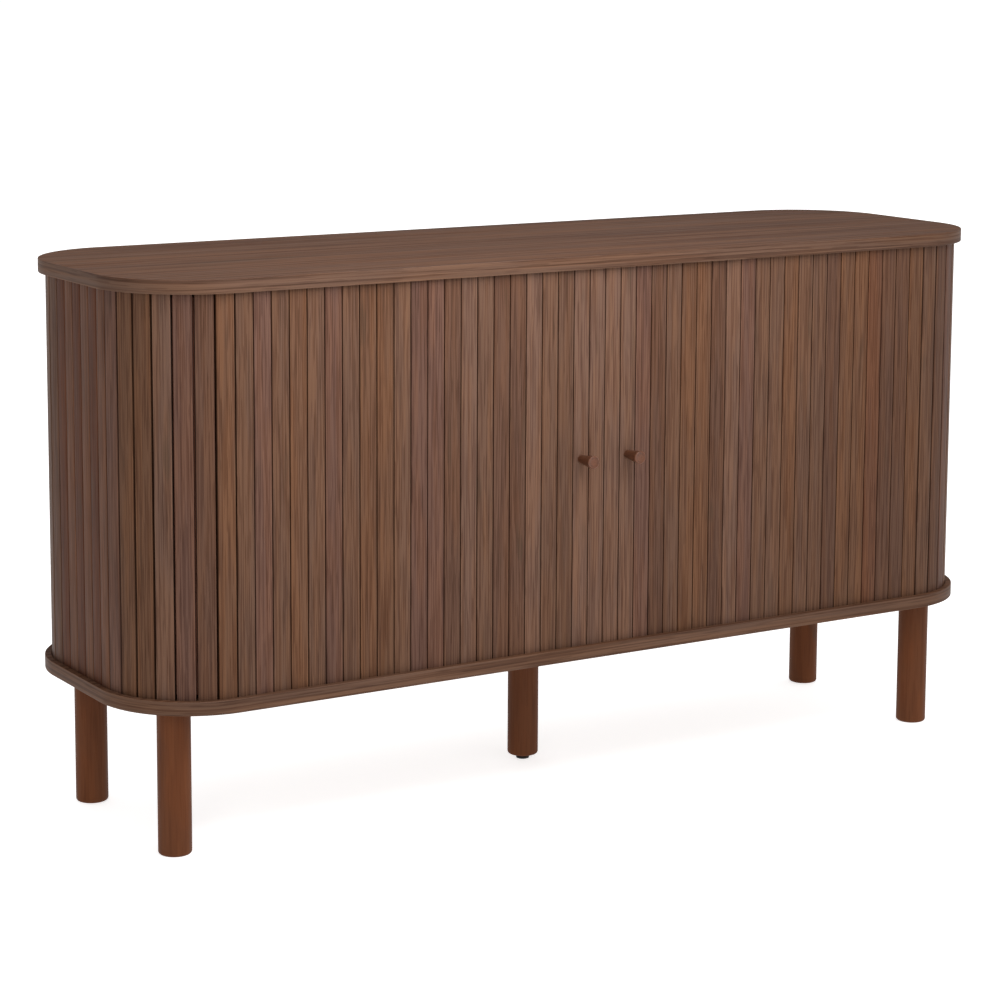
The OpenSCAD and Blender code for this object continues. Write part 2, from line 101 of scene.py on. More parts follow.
def take_up(*pieces: Piece) -> None:
    """Selects only these pieces and makes the first one active."""
    if bpy.context.mode != "OBJECT":
        bpy.ops.object.mode_set(mode="OBJECT")
    bpy.ops.object.select_all(action="DESELECT")
    for piece in pieces:
        piece.select_set(True)
    if pieces:
        bpy.context.view_layer.objects.active = pieces[0]


@contextmanager
def editing(piece: Piece) -> Iterator[None]:
    """Holds a piece in edit mode with nothing selected, and leaves edit mode afterwards."""
    take_up(piece)
    bpy.ops.object.mode_set(mode="EDIT")
    bpy.ops.mesh.select_all(action="DESELECT")
    yield
    bpy.ops.object.mode_set(mode="OBJECT")


def choose(piece: Piece, part: Part, test: Callable[[object], bool]) -> int:
    """Selects, in edit mode, the parts of the mesh that pass a test and nothing else.

    Args:
        piece: the object in edit mode.
        part: whether vertices, edges or faces are tested.
        test: says whether a part is wanted.

    Returns:
        How many parts were selected.
    """
    bpy.ops.mesh.select_mode(type=part.name)
    bpy.ops.mesh.select_all(action="DESELECT")
    mesh = bmesh.from_edit_mesh(piece.data)
    wanted = [p for p in getattr(mesh, part.value) if test(p)]
    for p in wanted:
        p.select_set(True)
    mesh.select_flush_mode()
    bmesh.update_edit_mesh(piece.data)
    return len(wanted)


def settle(piece: Piece, name: str) -> Piece:
    """Names a new piece and puts its place, turn and scale into its mesh."""
    take_up(piece)
    bpy.ops.object.transform_apply(location=True, rotation=True, scale=True)
    piece.name = piece.data.name = name
    return piece


def stand(piece: Piece, node: str) -> Piece:
    """Stands a turned piece on the middle of the lowest face of a node's box."""
    low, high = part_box(node)
    piece.location = ((low.x + high.x) / 2, (low.y + high.y) / 2, low.z)
    return settle(piece, piece.name)


def face_out() -> None:
    """Turns all the faces of the piece in edit mode outwards."""
    bpy.ops.mesh.select_all(action="SELECT")
    bpy.ops.mesh.normals_make_consistent(inside=False)


def push(x: float, y: float, z: float) -> dict[str, tuple[float, float, float]]:
    """How far an extrusion moves what it makes."""
    return {"value": (x, y, z)}


def smooth(piece: Piece) -> Piece:
    """Shades a piece smooth and marks its roundings, which the finish lightens as wear and as a
    painted highlight.
    """
    take_up(piece)
    bpy.ops.object.shade_smooth_by_angle(angle=SMOOTH_ANGLE)
    shape = bmesh.new()
    shape.from_mesh(piece.data)
    paler = shape.verts.layers.float.new(WEAR_AND_HIGHLIGHT)
    # roundings get 1: the finish paints them paler, as wear and as a painted highlight
    for vert in shape.verts:
        vert[paler] = float(all(min(edge.calc_length() for edge in face.edges) < ROUNDING
                               for face in vert.link_faces))
    shape.to_mesh(piece.data)
    shape.free()
    return piece


def soften(piece: Piece, width: float, segments: int, test: Callable[[object], bool]) -> None:
    """Bevels the edges that pass a test.

    Args:
        piece: the piece to work on.
        width: how far the bevel reaches from each edge.
        segments: how many facets round the edge gets.
        test: says whether an edge is bevelled.
    """
    with editing(piece):
        if choose(piece, Part.EDGE, test):
            bpy.ops.mesh.bevel(offset=width, segments=segments, profile=0.5, affect="EDGES",
                               clamp_overlap=True)


def is_corner(edge: bmesh.types.BMEdge) -> bool:
    """Whether an edge joins two faces at more than the smoothing angle."""
    return len(edge.link_faces) == 2 and edge.calc_face_angle(0) > SMOOTH_ANGLE


def block(name: str, low: Sequence[float], high: Sequence[float], round_off: float = 0.0006,
          segments: int = 2) -> Piece:
    """Saws a board to size and rounds its edges.

    Args:
        name: the piece's name.
        low: its lowest corner.
        high: its highest corner.
        round_off: how far its edges are rounded.
        segments: facets of that rounding.

    Returns:
        The board, with its place in its mesh.
    """
    middle = [(a + b) / 2 for a, b in zip(low, high)]
    size = [b - a for a, b in zip(low, high)]
    take_up()
    bpy.ops.mesh.primitive_cube_add(size=1, location=middle, scale=size)
    piece = settle(bpy.context.object, name)
    soften(piece, round_off, segments, lambda edge: True)
    return piece


def lathe(name: str, outline: Profile | list[tuple[float, float]], facets: int = 48) -> Piece:
    """Turns a solid about the Z axis from rings of (radius, height), the lowest first.

    Args:
        name: the piece's name.
        outline: radius and height of each ring.
        facets: facets round the axis.

    Returns:
        The turned solid, standing on the origin.
    """
    radius, height = outline[0]
    take_up()
    bpy.ops.mesh.primitive_circle_add(vertices=facets, radius=radius, fill_type="NGON",
                                      location=(0, 0, height))
    piece = settle(bpy.context.object, name)
    with editing(piece):
        choose(piece, Part.FACE, lambda face: True)
        for wider, higher in outline[1:]:
            bpy.ops.mesh.extrude_region_move(TRANSFORM_OT_translate=push(0, 0, higher - height))
            grow = wider / radius
            bpy.ops.transform.resize(value=(grow, grow, 1), center_override=(0, 0, higher))
            radius, height = wider, higher
        face_out()
    return piece


def copy_of(piece: Piece, name: str, place: Matrix) -> Piece:
    """Copies a piece with its own mesh, and moves the copy's mesh to its place."""
    twin = piece.copy()
    twin.data = piece.data.copy()
    twin.name = twin.data.name = name
    bpy.context.scene.collection.objects.link(twin)
    twin.data.transform(place)
    return twin


def joined(name: str, pieces: Sequence[Piece]) -> Piece:
    """Joins pieces into one object of that name."""
    take_up(*pieces)
    if len(pieces) > 1:
        bpy.ops.object.join()
    whole = bpy.context.object
    whole.name = whole.data.name = name
    return whole


def scrap(*pieces: Piece) -> None:
    """Throws away patterns and cutters once they have been used."""
    for piece in pieces:
        mesh = piece.data
        bpy.data.objects.remove(piece)
        bpy.data.meshes.remove(mesh)


def cut_out(piece: Piece, cutter: Piece) -> None:
    """Cuts one solid out of another and throws the cutter away."""
    take_up(piece)
    tool = piece.modifiers.new("cut", "BOOLEAN")
    tool.operation, tool.solver, tool.object = "DIFFERENCE", "EXACT", cutter
    bpy.ops.object.modifier_apply(modifier=tool.name)
    scrap(cutter)


def lay_grain(piece: Piece, rule: Callable[[Vector], tuple[float, float]]) -> None:
    """Writes the grain map: how far a point is across the grain and along it, in metres.

    Args:
        piece: the piece that gets the map.
        rule: gives (across, along) for a point.
    """
    mesh = piece.data
    layer = mesh.uv_layers.get(GRAIN_MAP) or mesh.uv_layers.new(name=GRAIN_MAP)
    for corner in mesh.loops:
        layer.uv[corner.index].vector = rule(mesh.vertices[corner.vertex_index].co)


def tint(piece: Piece, colour: Colour, share: Callable[[Vector], float]) -> None:
    """Stores a colour on a piece for its finish.

    Args:
        piece: the piece to colour.
        colour: the full colour.
        share: how much of the colour a vertex at a given place keeps; on the slats this paints
            shade into the seams.
    """
    mesh = piece.data
    tones = mesh.attributes.new(TONE_AND_SHADE, "FLOAT_COLOR", "POINT")
    for vert, tone in zip(mesh.vertices, tones.data):
        kept = share(vert.co)
        tone.color = (*(part * kept for part in colour), 1.0)


# ---- finishes ----------------------------------------------------------------------------------

Socket = bpy.types.NodeSocket
Feed = Socket | float | Sequence[float]


class Graph:
    """The shader nodes of one material."""

    def __init__(self, name: str) -> None:
        """Starts a material with a principled shader and its output."""
        self.material = bpy.data.materials.new(name)
        self.material.use_nodes = True
        self.tree = self.material.node_tree
        self.tree.nodes.clear()
        self.shader = self.tree.nodes.new("ShaderNodeBsdfPrincipled")
        out = self.tree.nodes.new("ShaderNodeOutputMaterial")
        self.tree.links.new(self.shader.outputs["BSDF"], out.inputs["Surface"])

    def feed(self, socket: Socket, value: Feed) -> None:
        """Links an output to a socket, or sets the socket's own value."""
        if isinstance(value, bpy.types.NodeSocket):
            self.tree.links.new(value, socket)
        else:
            socket.default_value = value

    def node(self, kind: str, inputs: dict[str, Feed] | None = None,
             **settings: object) -> bpy.types.Node:
        """Adds a node of a kind, with its settings and its inputs by name or number."""
        made = self.tree.nodes.new(f"ShaderNode{kind}")
        for key, value in settings.items():
            setattr(made, key, value)
        for key, value in (inputs or {}).items():
            self.feed(made.inputs[key], value)
        return made

    def finish(self, inputs: dict[str, Feed]) -> None:
        """Links or sets inputs of the surface's shader by name."""
        for key, value in inputs.items():
            self.feed(self.shader.inputs[key], value)

    def place(self) -> Socket:
        """A point's place in the sideboard's own space."""
        return self.node("TexCoord").outputs["Object"]

    def mapped(self) -> tuple[Socket, Socket]:
        """A point's lengths across and along the grain, from the piece's map."""
        split = self.node("SeparateXYZ", {0: self.node("UVMap", uv_map=GRAIN_MAP).outputs[0]})
        return split.outputs[0], split.outputs[1]

    def math(self, operation: str, *terms: Feed) -> Socket:
        """The result of a sum on one, two or three numbers."""
        return self.node("Math", dict(enumerate(terms)), operation=operation).outputs[0]

    def combine(self, x: Feed, y: Feed, z: Feed) -> Socket:
        """A vector from three numbers."""
        return self.node("CombineXYZ", {0: x, 1: y, 2: z}).outputs[0]

    def noise(self, vector: Socket, scale: Sequence[float], shift: float = 0.0,
              detail: float = 2.0) -> Socket:
        """Smooth noise from 0 to 1.

        Args:
            vector: where the noise is drawn.
            scale: how busy it is along X, Y and Z.
            shift: moves the noise, so that two layers differ.
            detail: how much fine noise there is on the coarse.

        Returns:
            The noise.
        """
        spread = (shift * part for part in (1.0, 0.7, 1.3))
        made = self.node("Mapping", {"Vector": vector, "Scale": scale,
                                     "Location": tuple(spread)})
        return self.node("TexNoise", {"Vector": made.outputs["Vector"], "Scale": 1.0,
                                      "Detail": detail}).outputs[0]

    def ramp(self, factor: Socket, start: float, end: float) -> Socket:
        """A factor stretched so that it runs smoothly from 0 at start to 1 at end."""
        made = self.node("MapRange", {0: factor, 1: start, 2: end},
                         interpolation_type="SMOOTHSTEP")
        return made.outputs[0]

    def mix(self, factor: Feed, a: Feed, b: Feed, blend: str = "MIX") -> Socket:
        """Two colours mixed by a factor."""
        made = self.node("Mix", data_type="RGBA", blend_type=blend)
        self.feed(made.inputs[0], factor)
        for socket, value in ((made.inputs[6], a), (made.inputs[7], b)):
            flat = not isinstance(value, bpy.types.NodeSocket) and len(value) == 3
            self.feed(socket, (*value, 1.0) if flat else value)
        return made.outputs[2]

    def shaded(self, factor: Feed, strength: float, colour: Feed, by: Colour) -> Socket:
        """A colour that is multiplied by another where a factor says so, up to a strength."""
        other = self.mix(1.0, colour, by, "MULTIPLY")
        return self.mix(self.math("MULTIPLY", factor, strength), colour, other)

    def bump(self, height: Socket, strength: float, distance: float) -> None:
        """Raises the surface by a height, in metres of distance."""
        made = self.node("Bump", {"Strength": strength, "Distance": distance, "Height": height})
        self.tree.links.new(made.outputs["Normal"], self.shader.inputs["Normal"])


class Grain(Enum):
    """Which way the grain of a piece runs."""

    X = (2, 1, 0)
    Y = (0, 2, 1)
    Z = (0, 1, 2)
    MAPPED = ()


@dataclass(frozen=True)
class Mark:
    """One layer of a wood's figure, drawn as noise."""

    shift: float
    detail: float
    start: float
    end: float


class Figure(Enum):
    """The layers of a wood's figure: their noise, and the values between which each fades in."""

    STREAK = Mark(3.1, 1.0, 0.46, 0.58)
    HAIR = Mark(7.7, 2.0, 0.42, 0.62)
    PATCH = Mark(11.3, 2.0, 0.40, 0.60)
    CLOUD = Mark(17.9, 2.0, 0.64, 0.78)
    PORE = Mark(23.3, 1.0, 0.56, 0.64)


class Shade(Enum):
    """What a layer multiplies the wood's colour by."""

    WARM = (1.05, 1.00, 0.92)
    COOL = (0.95, 0.96, 0.97)
    DARK = (0.62, 0.56, 0.54)
    PALE = (1.34, 1.32, 1.28)
    DEEP = (0.50, 0.44, 0.42)
    BARE = (1.7, 1.68, 1.62)


@dataclass(frozen=True)
class Wood:
    """A walnut finish: its colours, the size and strength of its figure, and its sheen.

    Sizes are widths across the grain and lengths along it, in metres. A wood with no brown of
    its own takes the colour that is stored on the piece.
    """

    name: str
    grain: Grain
    brown: Colour | None = None
    smudge: Colour = srgb(60, 48, 38)
    streak: tuple[float, float] = (0.0012, 0.08)
    hair: tuple[float, float] = (0.0010, 0.06)
    patch: tuple[float, float] = (0.009, 0.12)
    pore: tuple[float, float] = (0.0013, 0.035)
    contrast: float = 0.72
    hair_contrast: float = 0.3
    pores: float = 0.45
    smudges: float = 0.4
    smudge_share: tuple[float, float] = (1.1, 0.6)
    # how much paler the roundings get: wear and a painted highlight
    wear: float = 0.3
    gloss: float = 0.05
    rough: float = 0.50
    hair_rough: float = 0.12
    relief: float = 0.0001
    relief_strength: float = 0.5
    spread: float = 0.6

    def field(self, graph: Graph) -> Socket:
        """The vector that the figure is drawn on, with its third number along the grain."""
        if self.grain is Grain.MAPPED:
            across, along = graph.mapped()
            return graph.combine(across, 0.0, along)
        split = graph.node("SeparateXYZ", {0: graph.place()})
        return graph.combine(*(split.outputs[i] for i in self.grain.value))

    def layer(self, graph: Graph, vector: Socket, size: tuple[float, float],
              figure: Figure) -> Socket:
        """A layer of the figure, whose marks are of a given width and length."""
        mark = figure.value
        across, along = (self.spread / part for part in size)
        noise = graph.noise(vector, (across, across, along), mark.shift, mark.detail)
        return graph.ramp(noise, mark.start, mark.end)

    def material(self) -> bpy.types.Material:
        """Builds the material.

        Returns:
            A material with fine streaks, hair lines, pores, warm and cool patches, dark smudges
            and roundings lightened by wear and a painted highlight.
        """
        graph = Graph(self.name)
        vector = self.field(graph)
        smudge = tuple(part * share for part, share in zip(self.patch, self.smudge_share))
        streak, hair, patch, pore, cloud = (
            self.layer(graph, vector, size, figure) for size, figure in (
                (self.streak, Figure.STREAK), (self.hair, Figure.HAIR),
                (self.patch, Figure.PATCH), (self.pore, Figure.PORE), (smudge, Figure.CLOUD)))
        paler = graph.node("Attribute", attribute_name=WEAR_AND_HIGHLIGHT).outputs["Fac"]
        base = ((*self.brown, 1.0) if self.brown
                else graph.node("Attribute", attribute_name=TONE_AND_SHADE).outputs["Color"])
        warm = graph.mix(1.0, base, Shade.WARM.value, "MULTIPLY")
        cool = graph.mix(1.0, base, Shade.COOL.value, "MULTIPLY")
        colour = graph.mix(patch, cool, warm)
        for factor, strength, shade in ((streak, self.contrast, Shade.DARK),
                                        (hair, self.hair_contrast, Shade.PALE),
                                        (pore, self.pores, Shade.DEEP)):
            colour = graph.shaded(factor, strength, colour, shade.value)
        colour = graph.mix(graph.math("MULTIPLY", cloud, self.smudges), colour, self.smudge)
        # roundings made paler: partly wear, partly a painted highlight where edges catch the
        # light
        colour = graph.shaded(paler, self.wear, colour, Shade.BARE.value)
        graph.finish({
            "Base Color": colour,
            "Roughness": graph.math("MULTIPLY_ADD", hair, self.hair_rough, self.rough),
            "Specular IOR Level": self.gloss,
        })
        graph.bump(graph.math("SUBTRACT", hair, streak), self.relief_strength, self.relief)
        return graph.material


@dataclass(frozen=True)
class Canvas:
    """A dark plain-woven canvas, drawn on the piece's own map."""

    name: str = "dark_canvas"
    thread: Colour = srgb(120, 70, 50)
    gap: Colour = srgb(80, 46, 33)
    pitch: float = 0.0012
    rough: float = 0.9
    relief: float = 0.0002
    relief_strength: float = 0.6

    def material(self) -> bpy.types.Material:
        """Builds a material with raised warp and weft threads."""
        graph = Graph(self.name)
        across, along = (
            graph.math("SINE", graph.math("MULTIPLY", length, 2 * math.pi / self.pitch))
            for length in graph.mapped())
        weave = graph.math("MULTIPLY_ADD", graph.math("MULTIPLY", across, along), 0.5, 0.5)
        graph.finish({"Base Color": graph.mix(weave, self.gap, self.thread),
                      "Roughness": self.rough})
        graph.bump(weave, self.relief_strength, self.relief)
        return graph.material


@dataclass(frozen=True)
class Metal:
    """A plated metal with fine scratches and dull patches."""

    name: str
    colour: Colour
    rough: float = 0.3
    scratch_rough: float = 0.25
    dulled: float = 0.72
    patches: float = 300.0
    scratches: tuple[float, float, float] = (2600.0, 2600.0, 300.0)
    relief: float = 0.00005
    relief_strength: float = 0.2

    def material(self) -> bpy.types.Material:
        """Builds a metal whose sheen varies a little."""
        graph = Graph(self.name)
        place = graph.place()
        patch = graph.noise(place, (self.patches,) * 3, detail=3.0)
        scratch = graph.noise(place, self.scratches, 5.0)
        dull = tuple(self.dulled * part for part in self.colour)
        graph.finish({
            "Base Color": graph.mix(graph.ramp(patch, 0.35, 0.75), self.colour, dull),
            "Roughness": graph.math("MULTIPLY_ADD", scratch, self.scratch_rough, self.rough),
            "Metallic": 1.0,
        })
        graph.bump(scratch, self.relief_strength, self.relief)
        return graph.material


@dataclass(frozen=True)
class Moulded:
    """A black plastic with the fine texture of its mould."""

    name: str = "black_plastic"
    colour: Colour = srgb(28, 27, 27)
    greyed: float = 1.8
    pebbles: float = 2200.0
    patches: float = 90.0
    rough: float = 0.5
    relief: float = 0.0001
    relief_strength: float = 0.4

    def material(self) -> bpy.types.Material:
        """Builds a plastic with a fine pebbled surface."""
        graph = Graph(self.name)
        place = graph.place()
        pebble = graph.noise(place, (self.pebbles,) * 3)
        patch = graph.noise(place, (self.patches,) * 3, 4.0)
        paler = tuple(self.greyed * part for part in self.colour)
        graph.finish({"Base Color": graph.mix(graph.ramp(patch, 0.4, 0.8), self.colour, paler),
                      "Roughness": self.rough})
        graph.bump(pebble, self.relief_strength, self.relief)
        return graph.material


class Finishes:
    """The materials of the sideboard, each made once."""

    def __init__(self) -> None:
        """Mixes every finish."""
        self.top = Wood("top_veneer", Grain.MAPPED, brown=srgb(92, 65, 50),
                        streak=(0.0045, 0.40), hair=(0.0020, 0.12), patch=(0.026, 0.50),
                        smudges=0.5, contrast=0.8, gloss=0.02, rough=0.62).material()
        self.band = Wood("edge_band", Grain.MAPPED, brown=srgb(86, 64, 52),
                         streak=(0.0024, 0.26), hair=(0.0012, 0.16), patch=(0.012, 0.18),
                         contrast=0.8, hair_contrast=0.6, smudges=0.3, wear=0.35).material()
        self.slat = Wood("slat_foil", Grain.MAPPED).material()
        self.solid = Wood("turned_walnut", Grain.Z, brown=srgb(91, 54, 34),
                          streak=(0.006, 0.09), hair=(0.0020, 0.03), patch=(0.020, 0.07),
                          contrast=0.28, hair_contrast=0.14, pores=0.2, smudges=0.45,
                          gloss=0.05, rough=0.45).material()
        self.knob = Wood("knob_walnut", Grain.Y, brown=srgb(80, 48, 32),
                         streak=(0.0022, 0.03), hair=(0.0008, 0.012), patch=(0.008, 0.03),
                         contrast=0.25, hair_contrast=0.2, smudges=0.2, wear=0.3,
                         gloss=0.3, rough=0.28).material()
        self.upright, self.level = (
            Wood(name, grain, brown=srgb(94, 68, 54), contrast=0.35, smudges=0.2).material()
            for name, grain in (("inner_board_upright", Grain.Z), ("inner_board_level", Grain.X)))
        self.thin = Wood("thin_board", Grain.Z, brown=srgb(84, 62, 50), contrast=0.3,
                         streak=(0.008, 0.3), smudges=0.15, rough=0.55).material()
        self.beech = Wood("beech", Grain.Z, brown=srgb(205, 172, 128), contrast=0.2,
                          smudges=0.0, rough=0.6).material()
        self.canvas = Canvas().material()
        self.steel = Metal("zinc_plated_steel", srgb(176, 178, 182)).material()
        self.zinc = Metal("cast_zinc", srgb(158, 152, 140), 0.45).material()
        self.black = Moulded().material()


def dress(piece: Piece, material: bpy.types.Material) -> Piece:
    """Gives a piece one finish all over."""
    piece.data.materials.clear()
    piece.data.materials.append(material)
    return piece


def fit(piece: Piece, body: str, slot: str | None = None, *nodes: str) -> Piece:
    """Puts a finished piece into the sideboard.

    Args:
        piece: the finished piece, in its place.
        body: the body it moves with.
        slot: not used.
        nodes: the frame's nodes that it stands for.

    Returns:
        The same piece.
    """
    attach(piece, body)
    if nodes:
        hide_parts(*nodes)
    LOG.info("%s rides on %s, %d faces", piece.name, body, len(piece.data.polygons))
    return piece


# ---- the sideboard -----------------------------------------------------------------------------


@dataclass(frozen=True)
class Case:
    """Sizes of the case that several sub-assemblies share."""

    corner_r: float = 0.135
    overhang: float = 0.010
    slats_in_half: int = 22
    seam: float = 0.0014
    groove_clear: float = 0.0008
    groove_depth: float = 0.008
    low: Vector = field(default_factory=lambda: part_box("top_panel")[0])
    high: Vector = field(default_factory=lambda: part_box("top_panel")[1])

    @property
    def mid_y(self) -> float:
        """Middle of the case from front to back."""
        return (self.low.y + self.high.y) / 2

    @property
    def front_half(self) -> float:
        """From the centre seam to the start of a corner."""
        return self.high.x - self.corner_r

    @property
    def side_half(self) -> float:
        """From the middle of an end to the start of a corner."""
        return (self.high.y - self.low.y) / 2 - self.corner_r

    @property
    def slat_t(self) -> float:
        """Thickness of a slat."""
        low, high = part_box("left_curtain_slats")
        return high.y - low.y

    @property
    def back_r(self) -> float:
        """Radius of the line of the slats' backs in a corner."""
        return self.corner_r - self.overhang - self.slat_t

    @property
    def pitch(self) -> float:
        """From one slat to the next."""
        return self.front_half / self.slats_in_half

    def reach(self, x: float, y: float) -> float:
        """How far a point lies outside the rectangle of the corners' centres."""
        dx = max(abs(x) - self.front_half, 0.0)
        dy = max(abs(y - self.mid_y) - self.side_half, 0.0)
        return math.hypot(dx, dy)

    def along_edge(self, x: float, y: float) -> float:
        """Length along the panel's edge to a point near it, from the middle of the front."""
        r, y = self.corner_r, y - self.mid_y
        straight, quarter, side = self.front_half, r * math.pi / 2, 2 * self.side_half
        past, half = abs(x) - straight, self.side_half
        if past <= 0 and y < 0:
            length = abs(x)
        elif past > 0 and y < -half:
            length = straight + r * math.atan2(past, -y - half)
        elif past > 0 and y <= half:
            length = straight + quarter + y + half
        elif past > 0:
            length = straight + quarter + side + r * math.atan2(y - half, past)
        else:
            length = straight + 2 * quarter + side - past
        return length if x >= 0 else -length

    def line_at(self, length: float) -> tuple[float, float, float]:
        """Place and heading on the line of the slats' backs, on the right.

        Args:
            length: length along the line from the centre seam.

        Returns:
            X, Y and the heading in radians, which is 0 along the front.
        """
        r = self.back_r
        corner = r * math.pi / 2
        start, side = self.front_half, 2 * self.side_half
        front, back = self.mid_y - self.side_half, self.mid_y + self.side_half
        if length <= start:
            return length, front - r, 0.0
        if length <= start + corner:
            turn = (length - start) / r
            return start + r * math.sin(turn), front - r * math.cos(turn), turn
        if length <= start + corner + side:
            return start + r, front + length - start - corner, math.pi / 2
        if length <= start + 2 * corner + side:
            turn = (length - start - corner - side) / r
            return start + r * math.cos(turn), back + r * math.sin(turn), math.pi / 2 + turn
        return start - (length - start - 2 * corner - side), back + r, math.pi


@dataclass
class Panel:
    """The top or bottom panel: a veneered board with a band round its edge."""

    case: Case
    name: str
    groove_up: bool
    band_t: float = 0.0008
    arc_segments: int = 40
    edge_round: float = 0.0009
    joint: float = 0.00015
    rebate_x: float = 0.5534
    rebate_y: float = 0.0044
    rebate_h: float = 0.0144
    rebate_edge: float = 0.0002
    spare: float = 0.01
    grain_turn: float = 0.2
    board_shift: float = 1.3
    band_shift: float = 0.3

    @property
    def inner_side(self) -> int:
        """1 where the grooved face looks up, and -1 where it looks down."""
        return 1 if self.groove_up else -1

    def plate(self, name: str, inset: float) -> Piece:
        """A round-cornered plate of the panel's thickness, smaller all round by an inset."""
        low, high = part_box(self.name)
        middle, size = (low + high) / 2, high - low
        take_up()
        bpy.ops.mesh.primitive_plane_add(size=1, location=(middle.x, middle.y, low.z))
        piece = bpy.context.object
        piece.scale = (size.x - 2 * inset, size.y - 2 * inset, 1)
        settle(piece, name)
        with editing(piece):
            choose(piece, Part.VERT, lambda vert: True)
            bpy.ops.mesh.bevel(offset=self.case.corner_r - inset, segments=self.arc_segments,
                               profile=0.5, affect="VERTICES")
            bpy.ops.mesh.select_mode(type="FACE")
            bpy.ops.mesh.select_all(action="SELECT")
            bpy.ops.mesh.extrude_region_move(TRANSFORM_OT_translate=push(0, 0, size.z))
            face_out()
        return piece

    def cut_groove(self, piece: Piece) -> None:
        """Routs the groove that the slats' ends run in."""
        case, side = self.case, self.inner_side
        outer = case.corner_r - case.overhang + self.bulge() + case.groove_clear
        inner = case.back_r - case.groove_clear
        board_edge = case.corner_r - self.band_t
        with editing(piece):
            choose(piece, Part.FACE, lambda face: face.normal.z * side > LEVEL)
            bpy.ops.mesh.inset(thickness=board_edge - outer)
            bpy.ops.mesh.inset(thickness=outer - inner)
            choose(piece, Part.FACE, lambda face: face.normal.z * side > LEVEL
                   and len(face.verts) == 4
                   and inner < case.reach(*face.calc_center_median().xy) < outer)
            bpy.ops.mesh.extrude_region_move(
                TRANSFORM_OT_translate=push(0, 0, -side * case.groove_depth))

    def bulge(self) -> float:
        """How much wider the groove is than a slat, so that a flat slat passes the corner."""
        r = self.case.corner_r - self.case.overhang
        return math.hypot(r, (self.case.pitch - self.case.seam) / 2) - r

    def cut_rebate(self, piece: Piece) -> None:
        """Cuts the rebate that the outer back is screwed into."""
        low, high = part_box(self.name)
        inner_z = high.z if self.groove_up else low.z
        bottom, top = sorted((inner_z - self.inner_side * self.rebate_h,
                              inner_z + self.inner_side * self.spare))
        cut_out(piece, block("rebate_cutter", (-self.rebate_x, high.y - self.rebate_y, bottom),
                             (self.rebate_x, high.y + self.spare, top), self.rebate_edge, 1))

    def build_board(self, finish: bpy.types.Material) -> Piece:
        """The board inside its band, with its groove, rebate and grain."""
        board = self.plate(f"{self.name}_board", self.band_t)
        self.cut_groove(board)
        self.cut_rebate(board)
        soften(board, self.joint, 1, is_corner)
        shift = 0.0 if self.groove_up else self.board_shift
        lay_grain(board, lambda point: (point.y + self.grain_turn * point.z, point.x + shift))
        return dress(smooth(board), finish)

    def build_band(self, finish: bpy.types.Material) -> Piece:
        """The band round the board, with soft outer edges."""
        case = self.case
        band = self.plate(f"{self.name}_band", 0.0)
        outer = case.corner_r - self.band_t / 2
        with editing(band):
            choose(band, Part.FACE, lambda face: abs(face.normal.z) > LEVEL)
            bpy.ops.mesh.inset(thickness=self.band_t)
            choose(band, Part.FACE, lambda face: abs(face.normal.z) > LEVEL
                   and len(face.verts) > 4)
            bpy.ops.mesh.delete(type="ONLY_FACE")
            choose(band, Part.EDGE, lambda edge: edge.is_boundary)
            bpy.ops.mesh.bridge_edge_loops()
            face_out()
        soften(band, self.edge_round, 3,
               lambda edge: is_corner(edge) and all(
                   case.reach(*vert.co.xy) > outer for vert in edge.verts))
        self.cut_rebate(band)
        shift = self.band_shift if self.groove_up else 0.0
        lay_grain(band, lambda point: (point.z - case.reach(*point.xy) + shift,
                                       case.along_edge(*point.xy)))
        return dress(smooth(band), finish)

    def build(self, finishes: Finishes) -> None:
        """Builds the board and its band, and fits both."""
        fit(self.build_board(finishes.top), "case", "walnut_veneer", self.name)
        fit(self.build_band(finishes.band), "case", "walnut_veneer")


class Tone(Enum):
    """Tones of foil that the slats were cut from."""

    ASH = srgb(95, 71, 59)
    MAUVE = srgb(90, 65, 55)
    BROWN = srgb(90, 66, 53)
    OCHRE = srgb(92, 65, 49)
    RUST = srgb(92, 62, 47)
    UMBER = srgb(85, 61, 49)
    DUSK = srgb(78, 47, 33)


